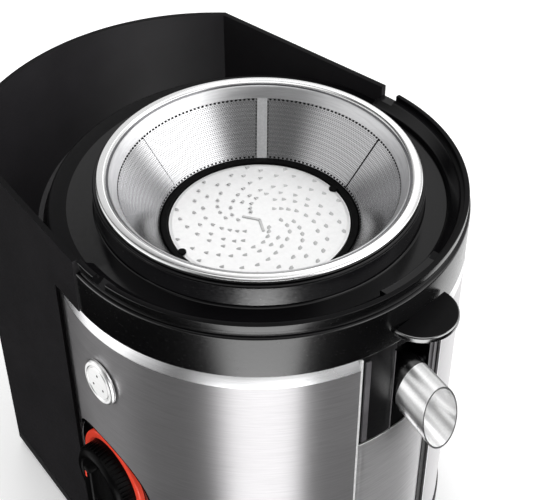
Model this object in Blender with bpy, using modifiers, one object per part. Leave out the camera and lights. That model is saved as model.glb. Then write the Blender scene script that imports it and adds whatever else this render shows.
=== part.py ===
"""Centrifugal juicer with its lid off.

A motor base carries a juice bowl, a filter basket with its grater disc, a spout and a pulp container.

The motor axis is vertical. The front, with the switch, faces -Y, the spout points along +X and the pulp
container slides off along -X. Sizes are metres, measured from the motor axis and from the table.
"""

import math

import bmesh
import bpy
from mathutils import Matrix, Vector

MM = 0.001

# Where the motor axis stands: the origin is the middle of the whole footprint, on the table.
AXIS_X = 19.9 * MM

# Heights
LIP_Z = 243.9 * MM          # top of the juice bowl's lip and of the pulp container
SHELL_TOP_Z = 210.9 * MM
SHELL_BOTTOM_Z = 24.3 * MM
NICHE_Z = 147 * MM          # lower edge of the niche that the spout block drops into
CHASSIS_TOP_Z = 209 * MM
BASE_Z = 5.3 * MM
BASE_TOP_Z = 12 * MM
CORD_Z = 40 * MM            # the cord gland, at the back

# Radii round the motor axis
PLINTH_R = 108.5 * MM
CHASSIS_R = 104.5 * MM

GAP = 0.3 * MM              # between two pieces that touch
NICHE_HALF = 28.8 * MM      # half the width of the gap in the steel wrap
BADGE_Z = 172.5 * MM
BADGE_R = 14 * MM

# Rotary switch: its spindle points out of the wrap at this height and azimuth.
SWITCH_Z = 88.5 * MM
SWITCH_AZIMUTH = math.radians(-94)
SWITCH_HOLE_R = 35.4 * MM

# Spout: its tube leans down from a ball at the pivot, in the vertical plane at this azimuth.
SPOUT_AZIMUTH = math.radians(3)
SPOUT_LEAN = math.radians(24.8)
PIVOT_R = 100 * MM
PIVOT_Z = 173 * MM
TUBE_R = 12.4 * MM
TUBE_WALL = 0.9 * MM
MOUTH_R = 13.3 * MM
MOUTH_DISTANCE = 28.2 * MM  # from the pivot, along the tube
FAR_R = 13.9 * MM           # where the tube would end if its mouth were not cut at a slant
MOUTH_FACE = math.radians(15.5)  # how far above the horizontal the mouth looks
TUBE_ROOT = 106.4 * MM      # radius at which the steel tube starts

# Pulp container: straight sides that touch the round body, and an arc behind.
SIDE_ANGLE = math.radians(97)
SIDE_INSIDE = 105 * MM
WALL = 3 * MM
FAR_CENTRE_X = -40 * MM
FAR_INSIDE = 127 * MM
CONTAINER_Z = 12.3 * MM
NEAR_WALL_R = 110.6 * MM
NEAR_WALL_TOP = 226 * MM
COLLAR_BACK_X = -12.3 * MM   # where the bowl's collar ends and its flat apron starts

ROUND = 64                  # steps round a large turned piece
SMALL = 28                  # steps round a small one

parts = bpy.data.collections.new("centrifugal_juicer")
cutters = bpy.data.collections.new("cutters")


def clear_scene():
    for obj in list(bpy.data.objects):
        bpy.data.objects.remove(obj)
    bpy.context.scene.collection.children.link(parts)
    bpy.context.scene.collection.children.link(cutters)


def material(name, colour, roughness, metallic):
    mat = bpy.data.materials.new(name)
    mat.use_nodes = True
    shader = mat.node_tree.nodes["Principled BSDF"]
    shader.inputs["Base Color"].default_value = (*colour, 1)
    shader.inputs["Roughness"].default_value = roughness
    shader.inputs["Metallic"].default_value = metallic
    return mat


def empty(name, place, parent=None):
    """A body's frame: it stands on the joint's axis, and the pieces of the body hang from it."""
    obj = bpy.data.objects.new(name, None)
    parts.objects.link(obj)
    obj.parent = parent
    obj.location = place
    return obj


def add(name, mesh, look, parent):
    """One piece, whose mesh is in the motor axis's frame, parented to a body's empty."""
    obj = bpy.data.objects.new(name, mesh)
    parts.objects.link(obj)
    obj.parent = parent
    home = Vector((0, 0, 0))
    up = parent
    while up is not None and up.name != "base":
        home += up.location
        up = up.parent
    obj.location = -home
    mesh.materials.append(look)
    if mesh.polygons:
        mesh.shade_smooth()
        mesh.set_sharp_from_angle(angle=math.radians(35))
    return obj


def as_cutter(mesh):
    obj = bpy.data.objects.new("cutter", mesh)
    cutters.objects.link(obj)
    obj.hide_render = True
    obj.display_type = "WIRE"
    obj.location.x = AXIS_X
    return obj


def cut(obj, mesh, operation="DIFFERENCE"):
    modifier = obj.modifiers.new(operation.lower(), "BOOLEAN")
    modifier.object = as_cutter(mesh)
    modifier.operation = operation
    modifier.solver = "EXACT"


def join(obj, mesh):
    cut(obj, mesh, "UNION")


def finished(bm, matrix=None):
    """The mesh of a bmesh, moved by the matrix."""
    if matrix is not None:
        bmesh.ops.transform(bm, matrix=matrix, verts=bm.verts)
    bmesh.ops.recalc_face_normals(bm, faces=bm.faces)
    mesh = bpy.data.meshes.new("piece")
    bm.to_mesh(mesh)
    bm.free()
    return mesh


def box(low, high, matrix=None):
    """A box from its two corners, in millimetres."""
    bm = bmesh.new()
    bmesh.ops.create_cube(bm, size=1)
    size = [(b - a) * MM for a, b in zip(low, high)]
    middle = [(a + b) / 2 * MM for a, b in zip(low, high)]
    bmesh.ops.scale(bm, vec=size, verts=bm.verts)
    bmesh.ops.translate(bm, vec=middle, verts=bm.verts)
    return finished(bm, matrix)


def rod(radius, start, end, steps=SMALL, end_radius=None):
    """A cylinder or cone between two points."""
    start, end = Vector(start), Vector(end)
    bm = bmesh.new()
    top = radius if end_radius is None else end_radius
    length = (end - start).length
    bmesh.ops.create_cone(bm, cap_ends=True, segments=steps, radius1=radius, radius2=top, depth=length)
    turn = (end - start).to_track_quat("Z", "Y").to_matrix().to_4x4()
    return finished(bm, Matrix.Translation((start + end) / 2) @ turn)


def turned(profile, steps=ROUND, matrix=None):
    """A profile of (radius, height) points in millimetres, turned round the Z axis by a Screw modifier.

    A profile that starts and ends on the axis is an open chain; any other one is a closed loop.
    """
    points = [Vector((r * MM, 0, z * MM)) for r, z in profile]
    area = sum(a.x * b.z - b.x * a.z for a, b in zip(points, points[1:] + points[:1]))
    if area > 0:
        points.reverse()
    on_axis = points[0].x == 0 and points[-1].x == 0
    edges = [(i, i + 1) for i in range(len(points) - 1)]
    if not on_axis:
        edges.append((len(points) - 1, 0))
    mesh = bpy.data.meshes.new("profile")
    mesh.from_pydata(points, edges, [])
    obj = bpy.data.objects.new("profile", mesh)
    cutters.objects.link(obj)
    screw = obj.modifiers.new("screw", "SCREW")
    screw.steps = steps
    screw.render_steps = steps
    screw.use_merge_vertices = True
    screw.merge_threshold = 0.00001
    return mesh_of(obj, matrix)


def mesh_of(obj, matrix=None):
    """The evaluated mesh of a helper object, which is then removed."""
    graph = bpy.context.evaluated_depsgraph_get()
    mesh = bpy.data.meshes.new_from_object(obj.evaluated_get(graph))
    bpy.data.objects.remove(obj)
    bm = bmesh.new()
    bm.from_mesh(mesh)
    bmesh.ops.remove_doubles(bm, verts=bm.verts, dist=0.000005)
    return finished(bm, matrix)


def trimmed(mesh, by, operation="DIFFERENCE"):
    obj = bpy.data.objects.new("trim", mesh)
    helper = bpy.data.objects.new("by", by)
    cutters.objects.link(obj)
    cutters.objects.link(helper)
    modifier = obj.modifiers.new("trim", "BOOLEAN")
    modifier.object = helper
    modifier.operation = operation
    made = mesh_of(obj)
    bpy.data.objects.remove(helper)
    return made


def tube_ring(inner, outer, low, high, steps=SMALL, matrix=None):
    """A plain ring, in millimetres."""
    return turned([(outer, high), (outer, low), (inner, low), (inner, high)], steps, matrix)


def slab(outline, low, high):
    """A flat outline of (x, y) points in metres, between two heights, from a filled 2D curve."""
    curve = bpy.data.curves.new("outline", "CURVE")
    curve.dimensions = "2D"
    curve.fill_mode = "BOTH"
    curve.extrude = (high - low) / 2
    spline = curve.splines.new("POLY")
    spline.points.add(len(outline) - 1)
    for point, (x, y) in zip(spline.points, outline):
        point.co = (x, y, 0, 1)
    spline.use_cyclic_u = True
    obj = bpy.data.objects.new("outline", curve)
    cutters.objects.link(obj)
    return mesh_of(obj, Matrix.Translation((0, 0, (low + high) / 2)))


def arc(centre_x, radius, start, end, steps):
    """Points on an arc round (centre_x, 0), both ends included."""
    turns = [start + (end - start) * i / steps for i in range(steps + 1)]
    return [(centre_x + radius * math.cos(a), radius * math.sin(a)) for a in turns]


def side_point(along, out):
    """A point on the container's straight side, which runs at this distance out from the motor axis.

    It is measured along the side from where that touches the round body.
    """
    c, s = math.cos(SIDE_ANGLE), math.sin(SIDE_ANGLE)
    return (out * c - along * s, out * s + along * c)


def side_length(out, far_radius):
    """How far the straight wall runs before it meets the far arc."""
    low, high = 0.0, 0.2
    for _ in range(40):
        middle = (low + high) / 2
        x, y = side_point(middle, out)
        if math.hypot(x - FAR_CENTRE_X, y) < far_radius:
            low = middle
        else:
            high = middle
    return low


def container_outline(out, far_radius, start):
    """The container's plan: straight sides at this distance from the axis, and the far arc."""
    corner = side_point(side_length(out, far_radius), out)
    half = math.atan2(corner[1], corner[0] - FAR_CENTRE_X)
    far = arc(FAR_CENTRE_X, far_radius, half, 2 * math.pi - half, 20)
    near = side_point(start, out)
    return [near] + far + [(near[0], -near[1])]


def facing(azimuth, height):
    """The matrix that points a piece made round +Z out of the body at this azimuth and height."""
    out = Matrix.Rotation(azimuth, 4, "Z") @ Matrix.Rotation(math.pi / 2, 4, "Y")
    return Matrix.Translation((0, 0, height)) @ out @ Matrix.Rotation(math.pi / 2, 4, "Z")


def hole(radius, azimuth, height, steps):
    """A cutter for a round hole through the body's wall."""
    look_out = facing(azimuth, height)
    return rod(radius, look_out @ Vector((0, 0, 0.09)), look_out @ Vector((0, 0, 0.2)), steps)


def spout_frame():
    """The matrix that stands a piece made along +Z on the pivot, along the tube."""
    turn = Matrix.Rotation(SPOUT_AZIMUTH, 4, "Z") @ Matrix.Rotation(math.pi / 2 + SPOUT_LEAN, 4, "Y")
    return Matrix.Translation(pivot()) @ turn


def pivot():
    return Vector((PIVOT_R * math.cos(SPOUT_AZIMUTH), PIVOT_R * math.sin(SPOUT_AZIMUTH), PIVOT_Z))


def pin_axis():
    return Vector((math.sin(SPOUT_AZIMUTH), -math.cos(SPOUT_AZIMUTH), 0))


def make_feet(body, looks):
    places = [(62, 70), (62, -70), (-128, 62), (-128, -62)]
    for i, (x, y) in enumerate(places):
        profile = [(0, 5), (9, 5), (10, 3.5), (9.4, 0), (0, 0)]
        foot = turned(profile, 20, Matrix.Translation((x * MM, y * MM, 0)))
        add(f"foot_{i + 1}", foot, looks["rubber"], body)


def make_base_plate(body, looks):
    corner = side_length(SIDE_INSIDE + WALL, FAR_INSIDE + WALL)
    x, y = side_point(corner, SIDE_INSIDE + WALL)
    half = math.atan2(y, x - FAR_CENTRE_X)
    far = arc(FAR_CENTRE_X, FAR_INSIDE + WALL, half, 2 * math.pi - half, 20)
    front = arc(0, PLINTH_R, -SIDE_ANGLE, SIDE_ANGLE, 34)
    plate = add("base_plate", slab(far + front, BASE_Z, BASE_TOP_Z), looks["black_plastic"], body)
    for i in range(5):
        y = -24 + 12 * i
        cut(plate, box((-30, y - 2.5, 0), (30, y + 2.5, 20)))
    for i, (x, y) in enumerate(screw_places()):
        cut(plate, rod(2.2 * MM, (x, y, 0), (x, y, 20 * MM), 16))
        cut(plate, rod(4.2 * MM, (x, y, 0), (x, y, 8 * MM), 16))
        head = [(0, 16.6), (1.8, 16.6), (1.8, 7.7), (3.8, 7.7), (3.8, 6.2), (0, 6.2)]
        add(f"screw_{i + 1}", turned(head, 16, Matrix.Translation((x, y, 0))), looks["zinc"], body)


def screw_places():
    turns = [math.radians(20 + 90 * i) for i in range(4)]
    return [(93 * MM * math.cos(a), 93 * MM * math.sin(a)) for a in turns]


def niche_cutter(half, inside, low, high=230):
    return box((inside, -half, low), (130, half, high))


def make_body(body, looks):
    plinth = turned([(107.6, 24), (108.5, 22.5), (108.5, 12.3), (104.9, 12.3), (104.9, 24)], 48)
    add("plinth_ring", plinth, looks["black_gloss"], body)

    shell = tube_ring(106.2, 107.5, SHELL_BOTTOM_Z / MM, SHELL_TOP_Z / MM, ROUND)
    shell = add("steel_shell", shell, looks["brushed_steel"], body)
    cut(shell, niche_cutter(NICHE_HALF / MM, 60, 0))
    cut(shell, hole(SWITCH_HOLE_R, SWITCH_AZIMUTH, SWITCH_Z, 48))
    cut(shell, hole(8.3 * MM, math.pi / 2, CORD_Z, 24))

    panel = tube_ring(104.8, 106, SHELL_BOTTOM_Z / MM, NICHE_Z / MM - GAP / MM, ROUND)
    panel = add("front_panel", panel, looks["brushed_steel"], body)
    cut(panel, box((60, -28.5, 0), (130, 28.5, 200)), "INTERSECT")

    outer, top = CHASSIS_R / MM, CHASSIS_TOP_Z / MM
    chassis = [
        (outer, top), (outer, 12.3), (88, 12.3), (88, 16.3), (101.5, 16.3),
        (101.5, 176), (97, 179.5), (97, 182.7), (101.5, 182.7), (101.5, top),
    ]
    chassis = add("chassis", turned(chassis, 48), looks["black_plastic"], body)
    cut(chassis, niche_cutter(31, 60, 143.8))
    cut(chassis, hole(SWITCH_HOLE_R + GAP, SWITCH_AZIMUTH, SWITCH_Z, 48))
    cut(chassis, hole(8.3 * MM, math.pi / 2, CORD_Z, 24))
    for x, y in screw_places():
        cut(chassis, rod(2.1 * MM, (x, y, 0), (x, y, 20 * MM), 16))

    inside = rod(CHASSIS_R - 0.1 * MM, (0, 0, 0.1), (0, 0, 0.2), 96)
    liner = trimmed(box((81.5, -30.6, 144.2), (110, 30.6, 182.6)), inside, "INTERSECT")
    liner = add("niche_liner", liner, looks["black_plastic"], body)
    cut(liner, box((83.8, -28.9, 146.3), (120, 28.9, 200)))

    deck = turned([(101.2, 186.7), (101.2, 183), (16, 183), (16, 186.7)], 48)
    deck = add("top_deck", deck, looks["black_plastic"], body)
    cut(deck, niche_cutter(29.5, 83.8, 150))


def make_switch(base, knob_body, looks):
    """The rotary switch at the front: a recess, a red ring, the knob, its spindle and the switch behind."""
    look_out = facing(SWITCH_AZIMUTH, SWITCH_Z)
    rim = (SWITCH_HOLE_R - GAP) / MM
    recess = [
        (rim, 112), (rim, 92), (3.3, 92), (3.3, 94.5), (21, 94.5), (21, 101), (rim - 1.6, 101),
        (rim - 1.6, 112),
    ]
    recess = add("switch_bezel", turned(recess, 40, look_out), looks["black_gloss"], base)
    cut(recess, rod(107.2 * MM, (0, 0, 0), (0, 0, 0.3), 96), "INTERSECT")
    ring = [(23, 103.8), (23.5, 104.3), (27, 104.3), (27.5, 103.6), (27.5, 101.3), (23, 101.3)]
    add("red_ring", turned(ring, 40, look_out), looks["red"], base)
    knob = [(0, 114.4), (18.4, 114.4), (20.6, 112.6), (22.4, 102), (20.4, 102), (20.4, 96.5), (0, 96.5)]
    knob = add("knob", turned(knob, 32, look_out), looks["black_gloss"], knob_body)
    join(knob, box((-3.6, -17.6, 113), (3.6, 17.6, 120), look_out))
    start, middle, back = (look_out @ Vector((0, 0, r * MM)) for r in (105.5, 94, 74))
    cut(knob, rod(2.3 * MM, look_out @ Vector((0, 0, 106 * MM)), middle, 20))
    add("switch_spindle", rod(2 * MM, start, back, 20), looks["zinc"], knob_body)
    switch = box((-14, -14, 68), (14, 14, 91.7), look_out)
    switch = add("switch_body", switch, looks["black_plastic"], base)
    cut(switch, rod(2.6 * MM, middle, look_out @ Vector((0, 0, 72 * MM)), 20))


def make_badge(body, looks):
    """A plain round badge whose back follows the wrap."""
    edge = BADGE_R / MM
    profile = [(0, 110.2), (9.6, 110.2), (10, 109.8), (12.4, 109.8), (edge, 109.2), (edge, 104), (0, 104)]
    badge = turned(profile, 28, facing(-math.pi / 2, BADGE_Z))
    badge = add("badge", badge, looks["polished_steel"], body)
    cut(badge, rod(107.8 * MM, (0, 0, 0.1), (0, 0, 0.25), 96))


def make_motor(base, rotor, looks):
    """An open-frame motor hung under the top deck on rubber mounts."""
    add("motor_stator", tube_ring(26, 42, 95, 140, 32), looks["laminated_iron"], base)
    upper = [(36, 153), (40, 150), (40, 140.4), (28, 140.4), (28, 150), (31, 153)]
    lower = [(40, 94.6), (40, 85), (36, 82), (31, 82), (28, 85), (28, 94.6)]
    add("coil_upper", turned(upper, 24), looks["copper"], base)
    add("coil_lower", turned(lower, 24), looks["copper"], base)
    for name, plate, seat, leg_end in (
        ("upper_bracket", (168, 171), (170.5, 178.4), 135),
        ("lower_bracket", (58, 61), (50.5, 58.5), 100),
    ):
        bracket = add(name, tube_ring(9.4, 50, *plate, 28), looks["aluminium"], base)
        join(bracket, tube_ring(9.4, 12.5, *seat))
        near, far = sorted((leg_end, sum(plate) / 2))
        for side in (-1, 1):
            join(bracket, box((side * 46 - 3.5, -8, near), (side * 46 + 3.5, 8, far)))
    add("upper_bearing", tube_ring(4.3, 9.1, 168.5, 176, 24), looks["zinc"], base)
    add("lower_bearing", tube_ring(4.3, 9.1, 53, 60, 24), looks["zinc"], base)
    for i in range(3):
        turn = math.radians(30 + 120 * i)
        x, y = 40 * MM * math.cos(turn), 40 * MM * math.sin(turn)
        post = [(0, 182.7), (7, 182.7), (5.5, 177), (7, 171.3), (0, 171.3)]
        add(f"damper_{i + 1}", turned(post, 20, Matrix.Translation((x, y, 0))), looks["rubber"], base)
    seal = turned([(15.6, 186.4), (15.6, 183.4), (4.4, 183.4), (4.4, 186.4)], 24)
    add("shaft_seal", seal, looks["rubber"], base)

    add("rotor_shaft", rod(4 * MM, (0, 0, 50 * MM), (0, 0, 201 * MM), 24), looks["zinc"], rotor)
    add("rotor_core", tube_ring(4.3, 25.2, 94, 141, 36), looks["laminated_iron"], rotor)
    add("commutator", tube_ring(4.3, 11, 65, 80, 24), looks["copper"], rotor)
    fan = add("cooling_fan", tube_ring(4.3, 12, 156, 166, 24), looks["black_plastic"], rotor)
    for i in range(9):
        turn = Matrix.Rotation(2 * math.pi * i / 9, 4, "Z") @ Matrix.Rotation(0.5, 4, "X")
        join(fan, box((10, -1, -5), (36, 1, 5), Matrix.Translation((0, 0, 0.161)) @ turn))
    coupling = [(0, 211), (7.4, 211), (9, 209), (9, 188.8), (4.3, 188.8), (4.3, 202), (0, 202)]
    add("drive_coupling", turned(coupling, 32), looks["zinc"], rotor)
    for name, side in (("brush_left", -1), ("brush_right", 1)):
        low, high = sorted((side * 11.4, side * 26))
        add(name, box((low, -3.5, 68), (high, 3.5, 77)), looks["carbon"], base)


def make_electrics(body, looks):
    gland = [
        (6, 121), (7.2, 119.5), (7.8, 111), (11, 110.4), (11, 107.9), (7.9, 107.9), (7.9, 97), (3.6, 97),
        (3.6, 121),
    ]
    add("cord_gland", turned(gland, 24, facing(math.pi / 2, CORD_Z)), looks["rubber"], body)
    board = box((-26, 76, 58), (26, 78, 108))
    add("control_board", board, looks["circuit_board"], body)


def make_bowl(body, looks):
    """The lift-off juice bowl: chamber, centre tube, ring wall, channel, lip, collar and spout block."""
    profile = [
        (103.6, 243.9), (106.2, 243.9), (106.2, 240), (105.2, 239.6), (105.2, 236.9), (107.3, 236.5),
        (107.3, 211.6), (104.9, 211.6), (104.9, 236.2), (102.2, 236.2), (97.2, 231.4), (84, 231.4),
        (84, 189), (82, 187), (18.8, 187), (18.8, 190.4), (79.5, 189.8),
        (81.5, 191.8), (81.5, 247), (84, 247), (84, 234.6), (84.6, 234), (95, 234), (102, 241), (103.6, 241),
    ]
    bowl = add("juice_bowl", turned(profile, 60), looks["black_gloss"], body)
    add("centre_tube", tube_ring(16, 18.5, 187, 205, 32), looks["black_gloss"], body)

    # The container side: no lip, ledge or collar there, only a flat apron that the pulp flies over.
    behind = box((-130, -130, 180), (COLLAR_BACK_X / MM, 130, 280))
    cut(bowl, trimmed(tube_ring(94, 125, 200, 260, 34), behind, "INTERSECT"))
    for notch in (box((-20, 98, 239.2), (-1.9, 120, 260)), box((1.3, -120, 239.2), (9.9, -98, 260))):
        cut(bowl, notch)
    behind = box((-130, -130, 180), (COLLAR_BACK_X / MM + 1.8, 130, 280))
    apron = trimmed(tube_ring(90, 107.8, 231.4, 234, 60), behind, "INTERSECT")
    for side in (-1, 1):
        turn = Matrix.Rotation(side * SIDE_ANGLE, 4, "Z")
        apron = trimmed(apron, box((104.3, -130, 200), (140, 130, 260), turn))
    join(bowl, apron)

    # The spout block hangs from the collar into the niche.
    block = turned([(106, 214), (106, 147.4), (85, 147.4), (85, 186), (83, 189), (83, 214)], 64)
    block = trimmed(block, box((60, -28.3, 100), (130, 28.3, 260)), "INTERSECT")
    join(bowl, trimmed(block, box((60, -40, 140), (84.4, 40, 187.2))))
    slant = Matrix.Rotation(SPOUT_AZIMUTH, 4, "Z")
    cut(bowl, box((87.4, -14.6, 140), (130, 14.6, 206), slant))
    cut(bowl, box((79, -9, 191), (89, 9, 200), slant))
    cut(bowl, box((86.2, -8.4, 164), (92, 8.4, 198.6), slant))
    reach = pin_axis() * 18.5 * MM
    cut(bowl, rod(2.4 * MM, pivot() - reach, pivot() + reach, 20))

    # The half-round grip above the spout, and the wide seat for the lid inside the lip.
    tab = [(0, 223), (18, 223), (19, 222), (19, 220), (18, 219), (0, 219)]
    tab = turned(tab, 40, slant @ Matrix.Translation((107 * MM, 0, 0)))
    join(bowl, trimmed(tab, box((106.2, -30, 200), (140, 30, 240), slant), "INTERSECT"))
    seat = turned([(104, 242.6), (104, 238), (99.2, 238), (98.6, 241.9), (99.2, 242.6)], 96)
    join(bowl, trimmed(seat, box((60, -19.5, 200), (140, 19.5, 260), slant), "INTERSECT"))


def make_spout(body, looks):
    """A black ball on two pins, and the steel tube that it carries."""
    frame = spout_frame()
    size = TUBE_R / MM - 0.1
    turns = [math.radians(a) for a in range(50, -1, -10)]
    ball = [(size * math.cos(a), -size * math.sin(a)) for a in turns]
    bore = [(9.6, 16), (9.6, 0), (7.6, ball[0][1])]
    socket = add("spout_socket", turned(ball + [(size, 16)] + bore, 24, frame), looks["black_gloss"], body)
    for side in (-1, 1):
        pin = [pivot() + pin_axis() * side * reach * MM for reach in (10.8, 17.8)]
        join(socket, rod(2 * MM, *pin, 20))
    turn = Matrix.Rotation(SPOUT_AZIMUTH, 4, "Z")
    cut(socket, box((TUBE_ROOT / MM - 0.15, -40, 100), (160, 40, 230), turn))

    far = 46
    tube = [(TUBE_R, 1), (MOUTH_R, MOUTH_DISTANCE / MM), (FAR_R, far)]
    outside = [(radius / MM, along) for radius, along in tube]
    inside = [(radius / MM - TUBE_WALL / MM, along) for radius, along in reversed(tube)]
    tube = add("spout_tube", turned(outside + inside, 48, frame), looks["polished_steel"], body)
    cut(tube, box((60, -40, 100), (TUBE_ROOT / MM + 0.15, 40, 230), turn))
    mouth = Matrix.Translation(frame @ Vector((0, 0, MOUTH_DISTANCE)))
    mouth = mouth @ turn @ Matrix.Rotation(-MOUTH_FACE, 4, "Y")
    cut(tube, box((0, -40, -60), (60, 40, 60), mouth))


def make_basket(body, looks):
    cone = [
        (75.9, 248.5), (76.6, 247.6), (75.8, 246), (53, 215.8), (51.9, 216.6), (72, 242.7), (74.6, 247),
        (75.2, 248.5),
    ]
    add("filter_cone", turned(cone, 56), looks["perforated_steel"], body)
    rim = [(78, 250), (81.5, 250), (82.5, 248.9), (82.4, 247.5), (77.2, 247.5), (77, 249.2)]
    add("basket_rim", turned(rim, 56), looks["polished_steel"], body)
    hub = [
        (0, 214.6), (47.7, 214.6), (48, 216.8), (51.4, 216.8), (52.2, 215.4), (50, 211.5), (16.6, 208.5),
        (14, 207), (14, 191.5), (9.3, 191.5), (9.3, 211.6), (0, 211.6),
    ]
    add("basket_hub", turned(hub, 32), looks["black_plastic"], body)
    disc = [(0, 216.2), (46.6, 216.2), (47.4, 215.8), (47.4, 214.9), (0, 214.9)]
    add("grater_disc", turned(disc), looks["satin_steel"], body)


def make_container(body, looks):
    """A deep bin with straight sides, whose near wall wraps the round body under an open throat."""
    outline = container_outline(SIDE_INSIDE + WALL, FAR_INSIDE + WALL, 0)
    shell = slab(outline, CONTAINER_Z, LIP_Z)
    shell = add("pulp_container", shell, looks["black_gloss"], body)
    hollow = container_outline(SIDE_INSIDE, FAR_INSIDE, -20 * MM)
    cut(shell, slab(hollow, NEAR_WALL_TOP, LIP_Z + 16 * MM))
    near_wall = rod(NEAR_WALL_R + 2.5 * MM, (0, 0, 0), (0, 0, 0.3), 96)
    cut(shell, trimmed(slab(hollow, CONTAINER_Z + WALL, NEAR_WALL_TOP + 1 * MM), near_wall))
    cut(shell, rod(NEAR_WALL_R, (0, 0, 0), (0, 0, 211.4 * MM), 96))
    throat = rod(NEAR_WALL_R, (0, 0, 0), (0, 0, 0.3), 96)
    cut(shell, trimmed(slab(hollow, 205 * MM, 240 * MM), throat, "INTERSECT"))


def main():
    clear_scene()
    looks = {
        "brushed_steel": material("brushed_steel", (0.56, 0.55, 0.56), 0.32, 1),
        "polished_steel": material("polished_steel", (0.8, 0.8, 0.81), 0.12, 1),
        "satin_steel": material("satin_steel", (0.86, 0.86, 0.87), 0.3, 1),
        "perforated_steel": material("perforated_steel", (0.6, 0.6, 0.61), 0.28, 1),
        "black_gloss": material("black_gloss", (0.012, 0.011, 0.013), 0.12, 0),
        "black_plastic": material("black_plastic", (0.02, 0.02, 0.022), 0.45, 0),
        "red": material("red", (0.75, 0.03, 0.01), 0.25, 0),
        "rubber": material("rubber", (0.025, 0.025, 0.025), 0.75, 0),
        "zinc": material("zinc", (0.6, 0.61, 0.62), 0.35, 1),
        "aluminium": material("aluminium", (0.7, 0.7, 0.71), 0.45, 1),
        "copper": material("copper", (0.72, 0.33, 0.18), 0.35, 1),
        "laminated_iron": material("laminated_iron", (0.3, 0.3, 0.32), 0.5, 1),
        "carbon": material("carbon", (0.04, 0.04, 0.045), 0.7, 0),
        "circuit_board": material("circuit_board", (0.05, 0.22, 0.09), 0.5, 0),
    }
    base = empty("base", (AXIS_X, 0, 0))
    rotor = empty("rotor", (0, 0, 0), base)
    basket = empty("basket", (0, 0, 0), rotor)
    bowl = empty("bowl", (0, 0, 0), base)
    spout = empty("spout", pivot(), bowl)
    container = empty("container", (0, 0, 0), base)
    knob = empty("switch_knob", (0, 0, SWITCH_Z), base)
    make_feet(base, looks)
    make_base_plate(base, looks)
    make_body(base, looks)
    make_switch(base, knob, looks)
    make_badge(base, looks)
    make_motor(base, rotor, looks)
    make_electrics(base, looks)
    make_bowl(bowl, looks)
    make_spout(spout, looks)
    make_basket(basket, looks)
    make_container(container, looks)


main()
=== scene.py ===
"""Looks of the centrifugal juicer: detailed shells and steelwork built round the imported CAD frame."""

import math

import bmesh
import bpy
from mathutils import Matrix, Vector


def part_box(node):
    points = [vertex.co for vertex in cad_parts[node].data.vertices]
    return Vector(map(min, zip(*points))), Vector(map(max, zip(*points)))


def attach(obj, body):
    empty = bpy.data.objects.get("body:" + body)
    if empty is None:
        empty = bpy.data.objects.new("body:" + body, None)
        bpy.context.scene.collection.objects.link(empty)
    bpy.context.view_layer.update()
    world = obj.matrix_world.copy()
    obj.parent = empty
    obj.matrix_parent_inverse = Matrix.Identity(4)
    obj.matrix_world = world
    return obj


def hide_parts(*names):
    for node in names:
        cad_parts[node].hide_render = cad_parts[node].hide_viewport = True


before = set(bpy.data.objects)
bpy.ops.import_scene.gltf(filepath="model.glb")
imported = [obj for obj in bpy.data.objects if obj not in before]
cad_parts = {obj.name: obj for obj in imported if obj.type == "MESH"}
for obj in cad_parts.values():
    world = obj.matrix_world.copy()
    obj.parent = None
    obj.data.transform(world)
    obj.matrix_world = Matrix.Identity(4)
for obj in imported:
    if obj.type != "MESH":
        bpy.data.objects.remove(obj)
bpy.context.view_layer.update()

MM = 0.001
RIM_LOW, RIM_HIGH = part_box("basket_rim")
AXIS = Vector(((RIM_LOW.x + RIM_HIGH.x) / 2, (RIM_LOW.y + RIM_HIGH.y) / 2, 0))
ROUND = 256
SPOUT_TURN = math.radians(3)
SPOUT_LEAN = math.radians(24.8)
PIVOT = Vector((100 * math.cos(SPOUT_TURN), 100 * math.sin(SPOUT_TURN), 173)) * MM
SIDE_ANGLE = math.radians(97)
SWITCH_Z = 88.5
SWITCH_TURN = math.radians(-94)
SWITCH_HOLE = 35.4
BADGE_Z = 172.5
BADGE_SQUASH = 0.84
KNOB_RIBS = 48
CONE_FOOT = (51.9, 216.6)
CONE_TOP = (72, 242.7)
STRIP_AT = math.radians(136.2)
FAR_CENTRE = -40
GRATER_ARMS = 12
CAMERA_TURN = 47


# ---------------------------------------------------------------- meshes

def mesh_from(bm, matrix=None, merge=0.000003):
    """The bmesh as a clean mesh; a matrix moves it first."""
    if matrix is not None:
        bmesh.ops.transform(bm, matrix=matrix, verts=bm.verts)
    bmesh.ops.remove_doubles(bm, verts=bm.verts, dist=merge)
    bmesh.ops.recalc_face_normals(bm, faces=bm.faces)
    mesh = bpy.data.meshes.new("mesh")
    bm.to_mesh(mesh)
    bm.free()
    return mesh


def softened(profile, steps=4):
    """A profile with rounded corners.

    A point is (radius, height) or (radius, height, rounding), in millimetres.
    """
    out = []
    count = len(profile)
    for i, point in enumerate(profile):
        here = Vector(point[:2])
        size = point[2] if len(point) > 2 else 0
        before = Vector(profile[i - 1][:2])
        after = Vector(profile[(i + 1) % count][:2])
        if not size or (here.x == 0):
            out.append(here)
            continue
        start = here + (before - here).normalized() * min(size, (before - here).length * 0.48)
        end = here + (after - here).normalized() * min(size, (after - here).length * 0.48)
        for k in range(steps + 1):
            t = k / steps
            out.append(start * (1 - t) ** 2 + here * 2 * t * (1 - t) + end * t * t)
    return out


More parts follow.
